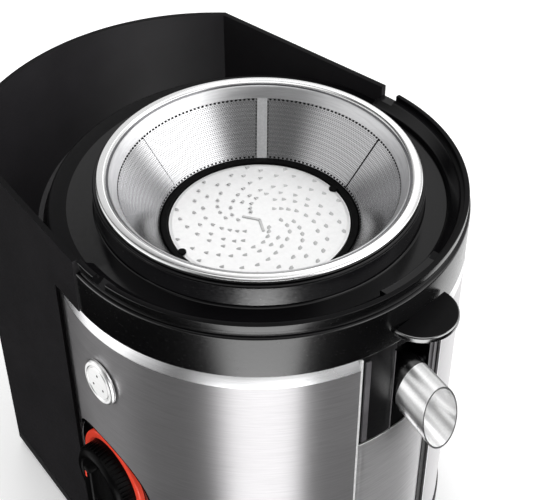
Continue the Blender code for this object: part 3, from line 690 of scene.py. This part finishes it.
def cone_strip(width, low, high, proud, turn, steps=12):
    """A thin strip that lies on the inside of the cone, from the disc up to the plain band."""
    bm = bmesh.new()
    rows = []
    for i in range(steps + 1):
        height = low + (high - low) * i / steps
        radius = cone_radius(height)
        row = []
        for across, lift in ((-0.5, -0.1), (-0.5, proud), (0.5, proud), (0.5, -0.1)):
            angle = turn + across * width / radius
            r = radius - lift
            row.append(bm.verts.new((r * MM * math.cos(angle), r * MM * math.sin(angle), height * MM)))
        rows.append(row)
    for a, b in zip(rows, rows[1:]):
        for i in range(4):
            j = (i + 1) % 4
            bm.faces.new((a[i], a[j], b[j], b[i]))
    bm.faces.new(rows[0])
    bm.faces.new(rows[-1])
    return mesh_from(bm)


def edge_marks():
    """Short dark marks where the fine mesh stops: along its top and bottom and beside the strip."""
    marks = [cone_strip(1.1, 241.9, 242.6, 0.12, 2 * math.pi * i / 190, 1) for i in range(190)]
    marks += [cone_strip(1.1, 217, 217.6, 0.12, 2 * math.pi * i / 140, 1) for i in range(140)]
    for i in range(17):
        height = 218.2 + 1.4 * i
        for side in (-1, 1):
            turn = STRIP_AT + side * 3.2 / cone_radius(height)
            marks.append(cone_strip(0.5, height, height + 0.8, 0.12, turn, 1))
    return marks


def make_basket():
    """The filter basket: rolled rim, plain band, perforated cone, strip, seams, hub and lugs."""
    rim = [(77, 249.3, 0.4), (78.2, 250, 0.5), (81.6, 250, 0.5), (82.5, 249.1, 0.5), (82.45, 247.6, 0.3),
           (77.1, 247.5, 0.3)]
    rolled = piece("rolled_rim", lathe(rim, 320), LOOKS["rim"], "basket", ["basket_rim"])
    linked_light("rim_light", [rolled], view_point(85, 43, 0.9), 0.3, 0.3, 0.17)
    # The groove ring is darkened: painted shade in the recess.
    groove = ring(75.4, 77.3, 247.3, 248.3)
    piece("rim_groove", groove, LOOKS["groove"], "basket", ())
    band = [(76.2, 248), (75.7, 248.8, 0.3), (75.1, 248.3, 0.4), (71.7, 242.8, 0.2), (72.9, 242.6, 0.2),
            (75.9, 246.6, 0.6), (76.3, 247.3, 0.3)]
    piece("plain_band", lathe(band, 320), LOOKS["band"], "basket", ())
    sieve = [(cone_radius(242.5) + 0.25, 242.5), (cone_radius(216.7) + 0.1, 216.7), (52.9, 215.9),
             (73.1, 242.5)]
    piece("sieve_cone", lathe(sieve, 320), LOOKS["mesh"], "basket", ["filter_cone"])
    strip = cone_strip(5.5, 216.9, 243, 0.16, STRIP_AT)
    turns = [STRIP_AT + math.radians(a) for a in (60, -60)]
    left_seam, right_seam = [cone_strip(0.5, 216.9, 243, 0.2, turn) for turn in turns]
    piece("weld_strip", joined(strip, left_seam), LOOKS["strip"], "basket", ())
    piece("dark_seam", right_seam, LOOKS["hub"], "basket", ())
    piece("mesh_edge_marks", joined(*edge_marks()), LOOKS["hub"], "basket", ())
    hub = [(0, 214.5), (47.7, 214.5), (48.1, 216.9, 0.4), (51.2, 216.9, 0.4), (52.2, 215.4, 0.4),
           (50, 211.5, 1), (16.6, 208.5, 1), (14, 207, 0.5), (14, 191.5, 0.5), (9.3, 191.5),
           (9.3, 211.6), (0, 211.6)]
    lugs = []
    for angle in (80, 260):
        centre = Matrix.Rotation(math.radians(angle), 4, "Z") @ Matrix.Translation((0.0466, 0, 0))
        lug = [(0, 217.2), (1.9, 217.2, 0.3), (2.3, 216.8, 0.3), (2.3, 216, 0), (0, 216)]
        lugs.append(lathe(lug, 40, centre))
    piece("basket_base", lathe(hub, 240), LOOKS["hub"], "basket", ["basket_hub"])
    piece("disc_lugs", joined(*lugs), LOOKS["hub"], "basket", ())
    make_disc()


def tooth(place, turn, size, height):
    """One punched grater tooth: a little hooded half cone whose open side faces the way the disc cuts."""
    bm = bmesh.new()
    top = bm.verts.new((0.1 * size, 0, height))
    steps = 7
    arc = []
    for i in range(steps):
        angle = math.pi * (0.5 + i / (steps - 1))
        arc.append(bm.verts.new((size * 1.25 * math.cos(angle), size * 0.62 * math.sin(angle), 0)))
    for a, b in zip(arc, arc[1:]):
        bm.faces.new((a, b, top))
    bm.faces.new((arc[-1], arc[0], top))
    bm.faces.new(arc[::-1])
    return mesh_from(bm, Matrix.Translation(place) @ Matrix.Rotation(turn, 4, "Z"), 0.0000001)


def make_disc():
    """The grater disc with spiral arms of teeth and a bent ridge in the middle."""
    top = 216.2
    disc = [(0, top), (45.6, top, 0.5), (46.5, top - 0.3, 0.4), (47.3, top - 0.35, 0.2), (47.3, 215, 0.1),
            (0, 215)]
    plate = piece("grater_plate", lathe(disc, 240), LOOKS["disc"], "basket", ["grater_disc"])
    teeth = []
    for arm in range(GRATER_ARMS):
        for step in range(12):
            radius = 7.5 + step * 3.3 + 0.6 * math.sin(arm * 2.1 + step)
            if radius > 44.5 or (step < 3 and (arm + step) % 2) or (step == 0 and arm % 3):
                continue
            angle = 2 * math.pi * arm / GRATER_ARMS + step * 0.29 + 0.1 * math.sin(step * 1.7 + arm)
            place = Vector((radius * math.cos(angle), radius * math.sin(angle), top - 0.03)) * MM
            teeth.append(tooth(place, angle + math.pi / 2 + 0.5, 1.9 * MM, 1.15 * MM))
    # The teeth and ridges wear the darker steel: painted shade.
    punched = piece("grater_teeth", joined(*teeth), LOOKS["teeth"], "basket", ())
    arms = []
    for angle in (211, 330):
        turn = Matrix.Rotation(math.radians(angle), 4, "Z")
        arms.append(block((-0.4, -0.8, top - 0.2), (9.5, 0.8, top + 0.5), turn, 0.3))
    ridges = piece("grater_ridges", joined(*arms), LOOKS["teeth"], "basket", ())
    linked_light("disc_light", [plate, punched, ridges], view_point(97, 40, 0.9), 0.8, 0.8, 1.2)


# ---------------------------------------------------------------- pulp container

def side_point(along, out):
    """A point on the container's straight side, at this distance out from the motor axis, in millimetres."""
    c, s = math.cos(SIDE_ANGLE), math.sin(SIDE_ANGLE)
    return (out * c - along * s, out * s + along * c)


def outline(out, far_radius, start, steps=72):
    """The container's plan, in millimetres: a straight side, the far arc and the other side."""
    low, high = 0.0, 200.0
    for _ in range(40):
        middle = (low + high) / 2
        x, y = side_point(middle, out)
        low, high = (middle, high) if math.hypot(x - FAR_CENTRE, y) < far_radius else (low, middle)
    x, y = side_point(low, out)
    half = math.atan2(y, x - FAR_CENTRE)
    turns = [half + (2 * math.pi - 2 * half) * i / steps for i in range(steps + 1)]
    far = [(FAR_CENTRE + far_radius * math.cos(a), far_radius * math.sin(a)) for a in turns]
    near = side_point(start, out)
    return [near] + far + [(near[0], -near[1])]


def on_far_wall(face):
    """True for the inside of the container's far wall."""
    return face.normal.x > 0.4 and face.center.x < -95 * MM


def on_container_top(face):
    """True for the container's upper edge."""
    return face.normal.z > 0.9 and face.center.z > 240 * MM


def make_container():
    """The pulp container: straight flanks, a curved far wall and a hollow for the motor body."""
    outer, inner = outline(108, 130, 0), outline(105, 127, -20)
    body_hole = rod(110.6, (0, 0, 0), (0, 0, 0.2114), 256)
    lower = combined(slab(inner, 15.3, 227), ("DIFFERENCE", rod(113.1, (0, 0, 0), (0, 0, 0.3), 256)))
    throat = combined(slab(inner, 205, 240), ("INTERSECT", rod(110.6, (0, 0, 0), (0, 0, 0.3), 256)))
    walls = combined(slab(outer, 12.4, 243.9), ("DIFFERENCE", slab(inner, 226, 260)), ("DIFFERENCE", lower),
                     ("DIFFERENCE", body_hole), ("DIFFERENCE", throat))
    # The far wall's inside gets the lighter plastic: painted light.
    others = [(LOOKS["painted_light_far_wall"], on_far_wall), (LOOKS["grip"], on_container_top)]
    obj = piece("container_walls", walls, LOOKS["container"], "container", ["pulp_container"],
                30, others)
    soften = obj.modifiers.new("edges", "BEVEL")
    soften.width = 0.0008
    soften.segments = 3
    soften.limit_method = "ANGLE"
    soften.angle_limit = math.radians(50)
    soften.use_clamp_overlap = True
    linked_light("bin_light", [obj], view_point(-60, -47, 0.9), 0.5, 0.5, 2.2)


# ---------------------------------------------------------------- studio

SKY_BASE = 0.006
# (left, softness), (right, softness), (low, softness), (high, softness), radiance; angles in degrees
SKY = [
    ((-112, 16), (-66.5, 2), (-80, 10), (-9, 8), 2.4),
    ((18, 20), (80, 30), (-60, 20), (-37, 6), 1.4),
    ((18, 20), (52, 20), (-37, 6), (10, 12), 1.4),
    ((-48, 16), (18, 18), (2, 8), (50, 16), 2.4),
    ((-215, 20), (-138, 26), (-14, 12), (50, 20), 0.85),
    ((-60, 4), (-44, 10), (-10, 8), (50, 16), 0.3),
    ((-140, 20), (-60, 14), (14, 12), (46, 6), 0.15),
    ((-108, 4), (-40, 14), (46, 6), (70, 8), 0.6),
    ((15, 30), (125, 20), (16, 16), (43, 4), 0.78),
    ((15, 30), (88, 8), (43, 4), (66, 16), 1.1),
    ((-180, 0.1), (179.9, 0.1), (66, 16), (100, 5), 1.2),
    ((-190, 12), (-156, 14), (-26, 10), (6, 8), 1.2),
    ((-122, 20), (-63, 6), (-16, 6), (0, 4), 0.7),
    ((-92, 16), (-63, 6), (-16, 6), (0, 4), 0.4),
    ((-63, 6), (-38, 12), (-14, 4), (-4, 4), 0.42),
]


def make_camera():
    """The camera at the fitted place and lens."""
    camera = bpy.data.cameras.new("camera")
    camera.lens = 85.09
    camera.sensor_width = 36
    obj = bpy.data.objects.new("camera", camera)
    bpy.context.scene.collection.objects.link(obj)
    obj.location = AXIS + Vector((0.3832, -0.3464, 0.65365))
    forward = Vector((-0.54696, 0.51005, -0.66384))
    obj.rotation_euler = forward.to_track_quat("-Z", "Y").to_euler()
    bpy.context.scene.camera = obj


def softbox(name, place, target, width, height, power):
    """A rectangular light that the camera doesn't see. Places are in metres from the motor axis."""
    light = bpy.data.lights.new(name, "AREA")
    light.shape = "RECTANGLE"
    light.size = width
    light.size_y = height
    light.energy = power
    obj = bpy.data.objects.new(name, light)
    bpy.context.scene.collection.objects.link(obj)
    obj.location = AXIS + Vector(place)
    obj.rotation_euler = (Vector(target) - Vector(place)).to_track_quat("-Z", "Y").to_euler()
    obj.visible_camera = False
    return obj


def view_point(azimuth, elevation, distance, height=0.2):
    """A place round the object. Azimuth is measured from the camera's own right, in degrees."""
    a, e = math.radians(azimuth + CAMERA_TURN), math.radians(elevation)
    return (distance * math.cos(a) * math.cos(e), distance * math.sin(a) * math.cos(e),
            height + distance * math.sin(e))


def smooth_step(tree, value, low, high, rising=True):
    """0 to 1 as the value goes from low to high, or 1 to 0."""
    made = tree.nodes.new("ShaderNodeMapRange")
    made.interpolation_type = "SMOOTHSTEP"
    tree.links.new(value, made.inputs["Value"])
    made.inputs["From Min"].default_value = low
    made.inputs["From Max"].default_value = high
    made.inputs["To Min"].default_value = 0 if rising else 1
    made.inputs["To Max"].default_value = 1 if rising else 0
    return made.outputs[0]


def math_node(tree, operation, first, second=None):
    made = tree.nodes.new("ShaderNodeMath")
    made.operation = operation
    for socket, value in zip(made.inputs, (first, second)):
        if isinstance(value, bpy.types.NodeSocket):
            tree.links.new(value, socket)
        elif value is not None:
            socket.default_value = value
    return made.outputs[0]


def sky_patch(tree, direction, height, left, right, low, high, value):
    """A soft box in the sky.

    Its edges are (degrees, softness), and azimuths count from the camera's right.
    """
    centre = math.radians((left[0] + right[0]) / 2 + CAMERA_TURN)
    turned = tree.nodes.new("ShaderNodeVectorRotate")
    turned.rotation_type = "Z_AXIS"
    tree.links.new(direction, turned.inputs["Vector"])
    turned.inputs["Angle"].default_value = -centre
    parts = tree.nodes.new("ShaderNodeSeparateXYZ")
    tree.links.new(turned.outputs[0], parts.inputs[0])
    angle = math_node(tree, "ARCTAN2", parts.outputs["Y"], parts.outputs["X"])
    half = math.radians((right[0] - left[0]) / 2)
    soft = [math.radians(edge[1]) / 2 for edge in (left, right, low, high)]
    mask = smooth_step(tree, angle, -half - soft[0], -half + soft[0])
    mask = math_node(tree, "MULTIPLY", mask, smooth_step(tree, angle, half - soft[1], half + soft[1], False))
    bottom, top = math.radians(low[0]), math.radians(high[0])
    mask = math_node(tree, "MULTIPLY", mask, smooth_step(tree, height, bottom - soft[2], bottom + soft[2]))
    mask = math_node(tree, "MULTIPLY", mask, smooth_step(tree, height, top - soft[3], top + soft[3], False))
    return math_node(tree, "MULTIPLY", mask, value)


def make_sky():
    """The studio round the object, drawn by direction: soft boxes, dark flags and pale walls."""
    world = bpy.data.worlds.new("studio")
    bpy.context.scene.world = world
    world.use_nodes = True
    tree = world.node_tree
    direction = tree.nodes.new("ShaderNodeTexCoord").outputs["Generated"]
    parts = tree.nodes.new("ShaderNodeSeparateXYZ")
    tree.links.new(direction, parts.inputs[0])
    height = math_node(tree, "ARCSINE", parts.outputs["Z"])
    total = SKY_BASE
    for patch in SKY:
        total = math_node(tree, "ADD", sky_patch(tree, direction, height, *patch), total)
    tree.links.new(total, tree.nodes["Background"].inputs["Strength"])
    tree.nodes["Background"].inputs["Color"].default_value = (1, 1, 1, 1)


def backdrop(name, mesh, albedo, glow):
    """Floor or background: pale, seen by the camera, and not by reflections, which see the drawn studio."""
    mat = bpy.data.materials.new(name)
    mat.use_nodes = True
    shader = mat.node_tree.nodes["Principled BSDF"]
    shader.inputs["Base Color"].default_value = (albedo, albedo, albedo, 1)
    shader.inputs["Roughness"].default_value = 0.9
    shader.inputs["Specular IOR Level"].default_value = 0
    shader.inputs["Emission Color"].default_value = (1, 1, 1, 1)
    shader.inputs["Emission Strength"].default_value = glow
    mesh.materials.append(mat)
    obj = bpy.data.objects.new(name, mesh)
    bpy.context.scene.collection.objects.link(obj)
    obj.visible_glossy = obj.visible_diffuse = obj.visible_transmission = obj.visible_shadow = False


def make_studio():
    """The sky, floor, background, key light and colour management."""
    make_sky()
    backdrop("studio_floor", block((-6000, -6000, -20), (6000, 6000, -0.2)), 0.9, 0.35)
    dome = bmesh.new()
    bmesh.ops.create_uvsphere(dome, u_segments=64, v_segments=32, radius=8)
    backdrop("studio_wall", mesh_from(dome), 0.0, 1.0)
    softbox("key", view_point(120, 55, 1.6), (0, 0, 0.2), 0.7, 0.7, 6).visible_glossy = False
    bpy.context.scene.view_settings.view_transform = "Standard"
    bpy.context.scene.view_settings.look = "None"


dress_cad_nodes()
make_camera()
make_shell()
make_switch()
make_badge()
make_bowl()
make_spout()
make_basket()
make_container()
make_studio()
